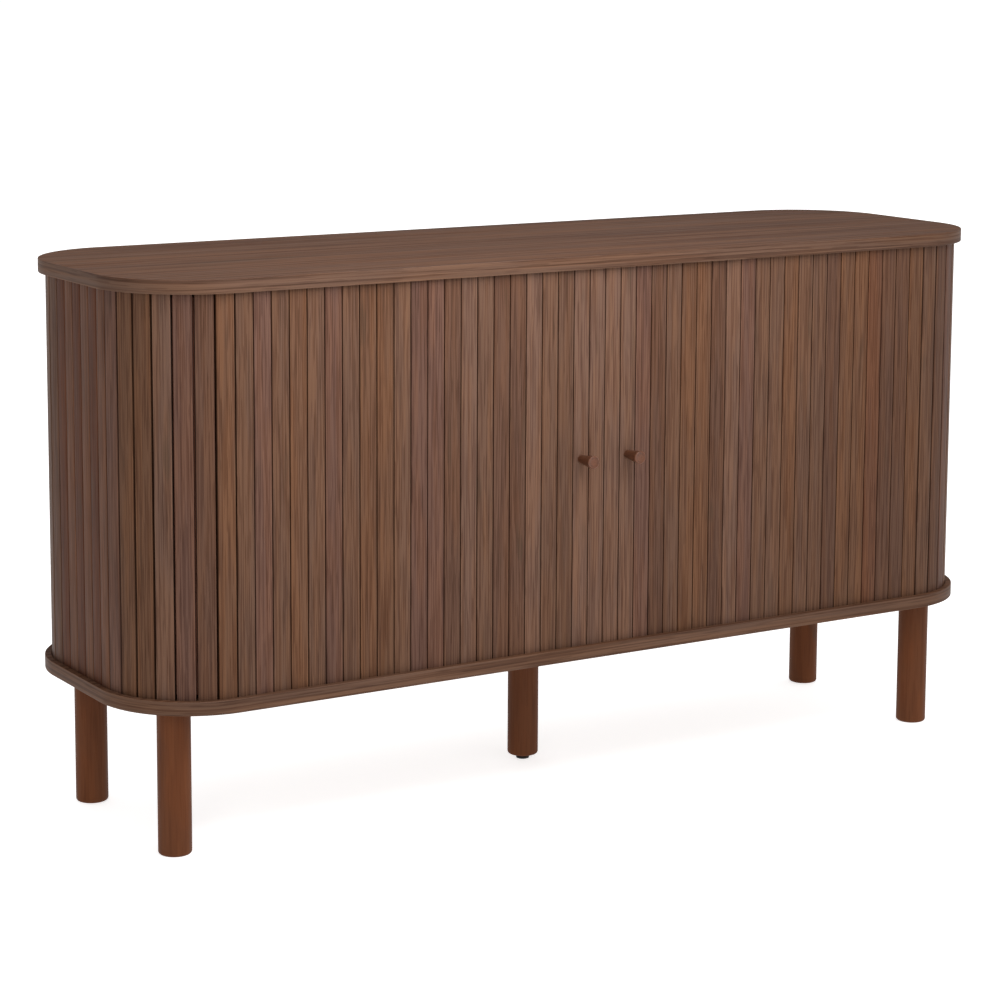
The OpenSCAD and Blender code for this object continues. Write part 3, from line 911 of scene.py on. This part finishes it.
@dataclass
class Tambour:
    """One tambour door: its slats in six stretches, their canvas and the lead's batten.

    The tones name each slat's foil from the centre seam to the tail.
    """

    case: Case
    side: str
    tones: str
    # painted shade in the seams: how dark a slat's sides get at their backs, and how fast they
    # darken
    deepest_painted_shade: float = 0.22
    painted_seam_shade: float = 0.4
    lead: int = 3
    corner: int = 8
    end: int = 5
    back: int = 8
    chamfer: float = 0.0011
    canvas_t: float = 0.0006
    canvas_end: float = 0.0004
    canvas_fold: float = 0.008
    canvas_slack: float = 0.98
    batten_round: float = 0.001
    hidden_share: float = 0.0015
    hidden_gap: float = 0.0003
    grain_step: float = 0.137
    grain_length: float = 7
    tone_change: float = 0.05
    letters: dict[str, Tone] = field(default_factory=lambda: {
        tone.name[0]: tone for tone in Tone})

    @property
    def sign(self) -> int:
        """-1 for the left door and 1 for the right one."""
        return -1 if self.side == "left" else 1

    def stretches(self) -> dict[str, tuple[int, int, str]]:
        """First slat, last slat and body of each stretch, by the end of its node's name."""
        front = self.case.slats_in_half
        found, first = {}, 0
        for ending, count, body in (
                ("lead_slats", self.lead, f"{self.side}_door"),
                ("curtain_slats", front - self.lead, "case"),
                ("front_corner_slats", self.corner, "case"),
                ("end_slats", self.end, "case"),
                ("back_corner_slats", self.back, "case"),
                ("tail_slat", 1, f"{self.side}_tail")):
            found[ending] = (first, first + count, body)
            first += count
        return found

    def place(self, length: float) -> Matrix:
        """Where something on the slats' line stands, on this door's side."""
        x, y, heading = self.case.line_at(length)
        return (Matrix.Translation((self.sign * x, y, 0))
                @ Matrix.Rotation(self.sign * heading, 4, "Z"))

    def pattern(self) -> Piece:
        """One slat with its back on the line, its outer edges eased."""
        case = self.case
        low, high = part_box(f"{self.side}_curtain_slats")
        half = (case.pitch - case.seam) / 2
        take_up()
        bpy.ops.mesh.primitive_cube_add(
            size=1, location=(0, -case.slat_t / 2, (low.z + high.z) / 2),
            scale=(2 * half, case.slat_t, high.z - low.z))
        slat = settle(bpy.context.object, "slat_pattern")
        soften(slat, self.chamfer, 4, lambda edge: all(
            vert.co.y < -case.slat_t / 2 for vert in edge.verts)
            and abs(edge.verts[0].co.z - edge.verts[1].co.z) > case.slat_t)
        return slat

    def build_slats(self, finish: bpy.types.Material) -> None:
        """Copies the pattern along the line, gives each slat its foil, and fits the stretches."""
        pattern = self.pattern()
        for ending, (first, last, body) in self.stretches().items():
            slats = []
            for number in range(first, last):
                slat = copy_of(pattern, f"slat_{number}", Matrix())
                draw = random.Random(number * 2 + (self.sign > 0))
                shift = (number * self.grain_step * self.sign,
                         draw.uniform(0, self.grain_length))
                lay_grain(slat, lambda point: (point.x + point.y + shift[0], point.z + shift[1]))
                tone = self.letters[self.tones[number]]
                change = draw.uniform(1 - self.tone_change, 1 + self.tone_change)
                # the slat's sides darken towards its back: painted shade in the seams between
                # slats
                tint(slat, tuple(part * change for part in tone.value),
                     lambda point: max(self.deepest_painted_shade, 1.0 - self.painted_seam_shade
                                       * (point.y + self.case.slat_t) / self.chamfer))
                slat.data.transform(self.place((number + 0.5) * self.case.pitch))
                slats.append(slat)
            node = f"{self.side}_{ending}"
            whole = dress(smooth(joined(f"{node}_wood", slats)), finish)
            fit(whole, body, "walnut_slats", node)
            if ending == "curtain_slats":
                self.gather(whole)
        scrap(pattern)

    def gather(self, piece: Piece) -> None:
        """Gives a stretch of curtain a mesh of its own."""
        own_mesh(piece)

    def strip(self, name: str, start: float, end: float, z: tuple[float, float]) -> Piece:
        """A strip of canvas on the slats' backs, from one length of the line to another.

        Args:
            name: the strip's name.
            start: where it starts on the slats' line.
            end: where it ends on that line.
            z: its lowest and highest edge.

        Returns:
            The strip, with its lengths across and along it as its map.
        """
        steps = max(1, round((end - start) / self.canvas_fold))
        stops = [start + (end - start) * i / steps for i in range(steps + 1)]
        points = [self.place(stop) @ Vector((0, self.canvas_t / 2, 0)) for stop in stops]
        take_up()
        bpy.ops.mesh.primitive_plane_add(size=1)
        piece = settle(bpy.context.object, name)
        mesh = piece.data
        corners = [(points[0], z[0]), (points[0], z[1]), (points[1], z[0]), (points[1], z[1])]
        order = sorted(mesh.vertices, key=lambda vert: (round(vert.co.x), vert.co.y))
        for vert, (point, height) in zip(order, corners):
            vert.co = (point.x, point.y, height)
        with editing(piece):
            for before, after in zip(points[1:], points[2:]):
                choose(piece, Part.EDGE, lambda edge: all(
                    (vert.co.xy - before.xy).length < NEAR for vert in edge.verts))
                bpy.ops.mesh.extrude_edges_move(
                    TRANSFORM_OT_translate=push(*(after - before).xy, 0))
            bpy.ops.mesh.select_all(action="SELECT")
            bpy.ops.mesh.remove_doubles(threshold=NEAR / 10)
            face_out()
        lengths = {(round(p.x, 4), round(p.y, 4)): s for p, s in zip(points, stops)}
        lay_grain(piece, lambda point: (
            lengths.get((round(point.x, 4), round(point.y, 4)), 0.0), point.z))
        cloth = piece.modifiers.new("thickness", "SOLIDIFY")
        cloth.thickness, cloth.offset = self.canvas_t * self.canvas_slack, 0.0
        take_up(piece)
        bpy.ops.object.modifier_apply(modifier=cloth.name)
        return piece

    def build_canvas(self, finish: bpy.types.Material) -> None:
        """Lays the canvas behind each stretch of slats."""
        case, marks = self.case, self.stretches()
        last = marks["back_corner_slats"][1] * case.pitch
        runs = {
            "lead_canvas": (0, self.lead * case.pitch, f"{self.side}_door"),
            "curtain_canvas": (self.lead * case.pitch, case.front_half, "case"),
            "end_canvas": (case.front_half, last, "case"),
            "tail_canvas": (last, last + case.pitch, f"{self.side}_tail"),
        }
        for ending, (start, end, body) in runs.items():
            node = f"{self.side}_{ending}"
            low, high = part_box(node)
            start, end = start + self.canvas_end, end - self.canvas_end
            cloth = dress(self.strip(f"{node}_cloth", start, end, (low.z, high.z)), finish)
            fit(cloth, body, "canvas", node)
            if ending == "curtain_canvas":
                self.gather(cloth)

    def build_batten(self, finish: bpy.types.Material) -> None:
        """Glues the batten behind the leading slats."""
        node = f"{self.side}_lead_batten"
        batten = block(f"{node}_wood", *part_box(node), self.batten_round)
        fit(dress(smooth(batten), finish), f"{self.side}_door", "inner_board", node)

    def build(self, finishes: Finishes) -> None:
        """Builds the door's pieces."""
        self.build_slats(finishes.slat)
        self.build_canvas(finishes.canvas)
        self.build_batten(finishes.upright)


@dataclass
class Knob:
    """A turned knob with a soft rim and a shallow dish in its face."""

    side: str
    base_r: float = 0.0055
    rim: float = 0.0015
    rim_degrees: range = range(0, 121, 15)
    dish: float = 0.0008
    dish_rise: float = 0.0006

    def build(self, finishes: Finishes) -> None:
        """Turns the knob and fits it on its door."""
        node = f"{self.side}_knob"
        low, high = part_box(node)
        length, face_r = high.y - low.y, (high.x - low.x) / 2
        neck_r = face_r - self.rim
        arc = [(neck_r + self.rim * math.cos(math.radians(a)),
                length - self.rim + self.rim * math.sin(math.radians(a)))
               for a in self.rim_degrees]
        body = [(self.base_r + (face_r - self.base_r) * t, (length - self.rim) * t)
                for t in (0.25, 0.5, 0.75, 0.95)]
        face = [(neck_r * t, length - self.dish + self.dish_rise * t ** 2)
                for t in (0.8, 0.5, 0.2)]
        knob = lathe(f"{node}_turned", [(self.base_r, 0.0), *body, *arc, *face])
        knob.rotation_euler = (math.pi / 2, 0, 0)
        knob.location = ((low.x + high.x) / 2, high.y, (low.z + high.z) / 2)
        settle(knob, knob.name)
        fit(dress(smooth(knob), finishes.knob), f"{self.side}_door", "solid_walnut", node)


@dataclass
class Leg:
    """A turned leg with a rounded foot."""

    node: str
    foot_round: float = 0.004
    top_round: float = 0.0006

    def build(self, finishes: Finishes) -> None:
        """Turns the leg and stands it in its place."""
        low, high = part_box(self.node)
        radius, height = (high.x - low.x) / 2, high.z - low.z
        arc = [(radius - self.foot_round * (1 - math.sin(math.radians(a))),
                self.foot_round * (1 - math.cos(math.radians(a)))) for a in range(0, 91, 15)]
        shaft = [(radius, height * t) for t in (0.2, 0.4, 0.6, 0.8)]
        head = [(radius, height - self.top_round), (radius - self.top_round, height)]
        leg = stand(lathe(f"{self.node}_turned", [*arc, *shaft, *head], 64), self.node)
        fit(dress(smooth(leg), finishes.solid), "case", "solid_walnut", self.node)


@dataclass
class Glide:
    """The levelling glide under the centre leg: a plastic foot and a threaded stem.

    The foot's profile gives how far each ring lies inside its edge, and its height.
    """

    foot_profile: Profile = ((0.001, 0.0), (0.0003, 0.0003), (0.0, 0.001), (0.0, 0.002),
                             (0.0006, 0.0027))
    foot_top: float = 0.002
    thread_r: float = 0.004
    thread_depth: float = 0.0006
    thread_pitch: float = 0.00125
    hex_h: float = 0.0026
    hex_up: float = 0.0037
    hex_ease: float = 0.0004
    pin_r: float = 0.0025

    def build_foot(self, finish: bpy.types.Material) -> None:
        """Moulds the foot, which narrows towards its top."""
        low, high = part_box("glide_foot")
        radius = (high.x - low.x) / 2
        outline = [(radius - inset, height) for inset, height in (
            *self.foot_profile, (self.foot_top, high.z - low.z))]
        foot = stand(lathe("glide_foot_moulded", outline), "glide_foot")
        fit(dress(smooth(foot), finish), "glide_foot", "black_plastic", "glide_foot")

    def build_stem(self, finish: bpy.types.Material) -> None:
        """Turns the stem, cuts its thread as a row of ridges, and adds the hexagon."""
        low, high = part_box("glide_stem")
        bottom, across = self.hex_up + self.hex_h, (high.x - low.x) / 2
        root = self.thread_r - self.thread_depth
        outline = [(root, bottom)]
        for i in range(int((high.z - bottom) / self.thread_pitch)):
            z = bottom + i * self.thread_pitch
            outline += [(self.thread_r, z + 0.5 * self.thread_pitch),
                        (root, z + self.thread_pitch)]
        stem = lathe("glide_stem_threaded", outline, 32)
        nut = lathe("glide_hexagon", [
            (across - self.hex_ease, self.hex_up), (across, self.hex_up + self.hex_ease),
            (across, bottom - self.hex_ease), (across - self.hex_ease, bottom)], 6)
        nut.data.transform(Matrix.Rotation(math.radians(30), 4, "Z"))
        pin = lathe("glide_pin", [(self.pin_r, low.z), (self.pin_r, self.hex_up)], 24)
        spot = Matrix.Translation(((low.x + high.x) / 2, (low.y + high.y) / 2, 0))
        for piece in (stem, nut, pin):
            piece.data.transform(spot)
        whole = joined("glide_stem_threaded", [stem, nut, pin])
        fit(dress(smooth(whole), finish), "glide_stem", "steel", "glide_stem")

    def build(self, finishes: Finishes) -> None:
        """Builds the foot and the stem."""
        self.build_foot(finishes.black)
        self.build_stem(finishes.steel)


@dataclass
class Inside:
    """The partition, inner walls, shelves and shelf pins.

    The pins' profile gives the radius and height of each ring, from the end in the wall.
    """

    pin_d: float = 0.0051
    pin_depth: float = 0.0065
    pin_rows: int = 5
    pin_step: float = 0.032
    pin_profile: Profile = ((0.0021, 0.0), (0.0025, 0.0004), (0.0025, 0.006), (0.0032, 0.006),
                            (0.0035, 0.0063), (0.0035, 0.0072), (0.0029, 0.0078),
                            (0.0029, 0.0136), (0.0023, 0.015))
    collar_r: float = 0.0035
    pin_bite: float = 0.006
    shelf_round: float = 0.0008

    def pin_lines(self) -> tuple[tuple[float, float], float]:
        """Where the two rows of shelf pins stand from front to back, and their height."""
        low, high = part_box("shelf_pins")
        return (low.y + self.collar_r, high.y - self.collar_r), (low.z + high.z) / 2

    def pin_cutter(self, faces: Sequence[float]) -> Piece:
        """Drills for the shelf pins' holes, one row for each X of a board's face."""
        ys, middle = self.pin_lines()
        drills = []
        for x, y, row in product(faces, ys, range(self.pin_rows)):
            z = middle + (row - (self.pin_rows - 1) / 2) * self.pin_step
            take_up()
            bpy.ops.mesh.primitive_cylinder_add(
                vertices=16, radius=self.pin_d / 2, depth=2 * self.pin_depth,
                location=(x, y, z), rotation=(0, math.pi / 2, 0))
            drills.append(settle(bpy.context.object, "drill"))
        return joined("pin_drills", drills)

    def build_upright(self, node: str, faces: Sequence[int], finish: bpy.types.Material) -> None:
        """A standing board with rows of pin holes in the faces given as -1 or 1."""
        low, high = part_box(node)
        board = block(f"{node}_board", low, high)
        cut_out(board, self.pin_cutter([high.x if side > 0 else low.x for side in faces]))
        fit(dress(smooth(board), finish), "case", "inner_board", node)

    def build_shelf(self, node: str, finish: bpy.types.Material) -> None:
        """A shelf with a soft front edge."""
        board = block(f"{node}_board", *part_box(node), self.shelf_round, 3)
        fit(dress(smooth(board), finish), "case", "inner_board", node)

    def build_pins(self, finish: bpy.types.Material) -> None:
        """Turned pins with a collar, four under each shelf."""
        ys, z = self.pin_lines()
        pattern = lathe("pin_pattern", self.pin_profile, 24)
        walls = [(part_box(node)[1 if way > 0 else 0].x - way * self.pin_bite, way)
                 for node, way in (("left_inner_wall", 1), ("centre_partition", -1),
                                   ("centre_partition", 1), ("right_inner_wall", -1))]
        pins = [copy_of(pattern, "pin", Matrix.Translation((x, y, z))
                        @ Matrix.Rotation(way * math.pi / 2, 4, "Y"))
                for x, way in walls for y in ys]
        scrap(pattern)
        fit(dress(smooth(joined("shelf_pins_turned", pins)), finish), "case", "steel",
            "shelf_pins")

    def build(self, finishes: Finishes) -> None:
        """Builds everything inside the case."""
        self.build_upright("centre_partition", (-1, 1), finishes.upright)
        self.build_upright("left_inner_wall", (1,), finishes.upright)
        self.build_upright("right_inner_wall", (-1,), finishes.upright)
        for side in ("left", "right"):
            self.build_shelf(f"{side}_shelf", finishes.level)
        self.build_pins(finishes.steel)


@dataclass
class Backs:
    """The false back, the outer back with its screws, and the divider between the channels."""

    screw_rows: int = 9
    screw_end: float = 0.020
    screw_in: float = 0.0105
    divider_screws: int = 3
    head_r: float = 0.003
    head_foot_r: float = 0.0015
    head_h: float = 0.0016
    cross: tuple[float, float] = (0.0032, 0.0007)
    screw_turn: float = 0.37

    def screw(self) -> Piece:
        """A countersunk screw head with a cross recess, facing backwards at the origin."""
        head = lathe("screw_head", [(self.head_foot_r, -self.head_h), (self.head_r, 0.0)], 24)
        for turn in (0.0, math.pi / 2):
            take_up()
            bpy.ops.mesh.primitive_cube_add(size=1, scale=(*self.cross, self.head_h),
                                            rotation=(0, 0, turn))
            cut_out(head, settle(bpy.context.object, "driver"))
        head.data.transform(Matrix.Rotation(-math.pi / 2, 4, "X"))
        return head

    def build_screws(self, finish: bpy.types.Material) -> None:
        """Screws along the top and bottom of the outer back and up its middle."""
        back_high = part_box("outer_back_panel")[1]
        floor_z, ceil_z = (corner.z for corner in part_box("false_back"))
        reach = back_high.x - self.screw_end
        step = 2 * reach / (self.screw_rows - 1)
        spots = [(i * step - reach, z) for i in range(self.screw_rows)
                 for z in (floor_z - self.screw_in, ceil_z + self.screw_in)]
        spots += [(0.0, floor_z + i * (ceil_z - floor_z) / (self.divider_screws + 1))
                  for i in range(1, self.divider_screws + 1)]
        pattern = self.screw()
        heads = [copy_of(pattern, "screw", Matrix.Translation((x, back_high.y, z))
                         @ Matrix.Rotation(self.screw_turn * i, 4, "Y"))
                 for i, (x, z) in enumerate(spots)]
        scrap(pattern)
        fit(dress(smooth(joined("back_screw_heads", heads)), finish), "case", "steel",
            "back_screws")

    def build(self, finishes: Finishes) -> None:
        """Builds the boards behind the compartments."""
        for node, slot, finish, edge in (
                ("false_back", "thin_board", finishes.thin, 0.0003),
                ("outer_back_panel", "thin_board", finishes.thin, 0.0005),
                ("channel_divider", "inner_board", finishes.upright, 0.0005)):
            board = block(f"{node}_board", *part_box(node), edge)
            fit(dress(smooth(board), finish), "case", slot, node)
        self.build_screws(finishes.steel)


@dataclass
class Fasteners:
    """Hidden hardware of the frame, which keeps its shape and gets a finish."""

    steel: tuple[str, ...] = ("leg_bolts", "cam_bolts", "case_screws", "left_batten_screws",
                              "right_batten_screws", "left_knob_screw", "right_knob_screw")
    zinc: tuple[str, ...] = ("leg_inserts", "glide_insert", "cam_discs")
    beech: tuple[str, ...] = ("dowels",)

    def build(self, finishes: Finishes) -> None:
        """Dresses the hardware."""
        for nodes, finish in ((self.steel, finishes.steel), (self.zinc, finishes.zinc),
                              (self.beech, finishes.beech)):
            for node in nodes:
                dress(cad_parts[node], finish)
                LOG.info("%s keeps its shape", node)


@dataclass(frozen=True)
class Lamp:
    """A square soft light: where it hangs, what it faces, its width and its power."""

    name: str
    spot: Spot
    aim: Spot
    size: float
    watts: float

    def hang(self) -> None:
        """Hangs the light."""
        lamp = bpy.data.lights.new(self.name, "AREA")
        lamp.shape, lamp.size, lamp.energy = "SQUARE", self.size, self.watts
        holder = bpy.data.objects.new(self.name, lamp)
        bpy.context.scene.collection.objects.link(holder)
        holder.location = self.spot
        ahead = Vector(self.aim) - Vector(self.spot)
        holder.rotation_euler = ahead.to_track_quat("-Z", "Y").to_euler()


@dataclass
class Studio:
    """A pale floor, soft lights and the camera."""

    floor_half: float = 30.0
    floor_glow: float = 0.70
    floor_rough: float = 0.9
    sky: float = 1.04
    dim_side: float = 0.42
    dim_from: float = -0.7
    dim_to: float = 0.2
    lamps: tuple[Lamp, ...] = (
        Lamp("corner", (-1.6, -1.5, 1.1), (-0.65, -0.15, 0.5), 0.6, 6),
        Lamp("overhead", (-0.15, -0.85, 1.45), (-0.15, 0.3, 1.3), 1.0, 18))
    camera_at: Spot = (-2.0816, -3.2770, 1.1559)
    yaw: float = math.radians(31.813)
    pitch: float = math.radians(8.214)
    roll: float = math.radians(0.294)
    lens: float = 100.09
    shift_y: float = -0.15

    def build_floor(self) -> None:
        """Lays a pale matt floor."""
        take_up()
        bpy.ops.mesh.primitive_plane_add(size=2 * self.floor_half, location=(0, 0, 0))
        floor = settle(bpy.context.object, "studio_floor")
        graph = Graph("pale_floor")
        cloud = graph.noise(graph.place(), (0.8,) * 3, detail=1.0)
        graph.finish({
            "Base Color": graph.mix(cloud, srgb(226, 226, 226), srgb(230, 230, 230)),
            "Roughness": self.floor_rough,
            "Emission Color": (1, 1, 1, 1),
            "Emission Strength": self.floor_glow,
        })
        dress(floor, graph.material)

    def build_world(self) -> None:
        """Surrounds the sideboard with white light, which is dimmer on the left."""
        world = bpy.data.worlds.new("studio")
        world.use_nodes = True
        tree = world.node_tree
        background = tree.nodes["Background"]
        background.inputs["Strength"].default_value = self.sky
        place = tree.nodes.new("ShaderNodeTexCoord")
        split = tree.nodes.new("ShaderNodeSeparateXYZ")
        side = tree.nodes.new("ShaderNodeMapRange")
        tree.links.new(place.outputs["Generated"], split.inputs[0])
        tree.links.new(split.outputs["X"], side.inputs["Value"])
        for socket, value in (("From Min", self.dim_from), ("From Max", self.dim_to),
                              ("To Min", self.dim_side), ("To Max", 1.0)):
            side.inputs[socket].default_value = value
        tree.links.new(side.outputs["Result"], background.inputs["Color"])
        bpy.context.scene.world = world

    def build_camera(self) -> None:
        """Sets the camera up at its place and turn."""
        ahead = Vector((math.sin(self.yaw) * math.cos(self.pitch),
                        math.cos(self.yaw) * math.cos(self.pitch), -math.sin(self.pitch)))
        right = Vector((math.cos(self.yaw), -math.sin(self.yaw), 0))
        up = right.cross(ahead)
        turn = Matrix((right, up, -ahead)).transposed() @ Matrix.Rotation(self.roll, 3, "Z")
        lens = bpy.data.cameras.new("camera")
        lens.lens, lens.shift_y, lens.clip_end = self.lens, self.shift_y, 100
        camera = bpy.data.objects.new("camera", lens)
        camera.matrix_world = Matrix.Translation(self.camera_at) @ turn.to_4x4()
        bpy.context.scene.collection.objects.link(camera)
        bpy.context.scene.camera = camera

    def build(self) -> None:
        """Sets the studio up."""
        self.build_floor()
        self.build_world()
        for lamp in self.lamps:
            lamp.hang()
        self.build_camera()
        bpy.context.scene.view_settings.view_transform = "Standard"


def main() -> None:
    """Builds the sideboard in order and reports each piece."""
    logging.basicConfig(level=logging.INFO, format="%(message)s")
    case, finishes = Case(), Finishes()
    Studio().build()
    Panel(case, "top_panel", groove_up=False).build(finishes)
    Panel(case, "bottom_panel", groove_up=True).build(finishes)
    for side, tones in (("left", "AABBAUUBAUMMBOOBMBOBMB" "OUMAOOMR" "DRDRD" "UBMRBOUM" "B"),
                        ("right", "AAMUBOOUAMBBOBBUOORUUO" "BUMOBMRD" "DRDRD" "UBMRBOUM" "B")):
        Tambour(case, side, tones).build(finishes)
    for side in ("left", "right"):
        Knob(side).build(finishes)
    for spot in ("front_left", "front_right", "back_left", "back_right", "centre"):
        Leg(f"leg_{spot}").build(finishes)
    Glide().build(finishes)
    Inside().build(finishes)
    Backs().build(finishes)
    Fasteners().build(finishes)


if __name__ == "__main__":
    main()
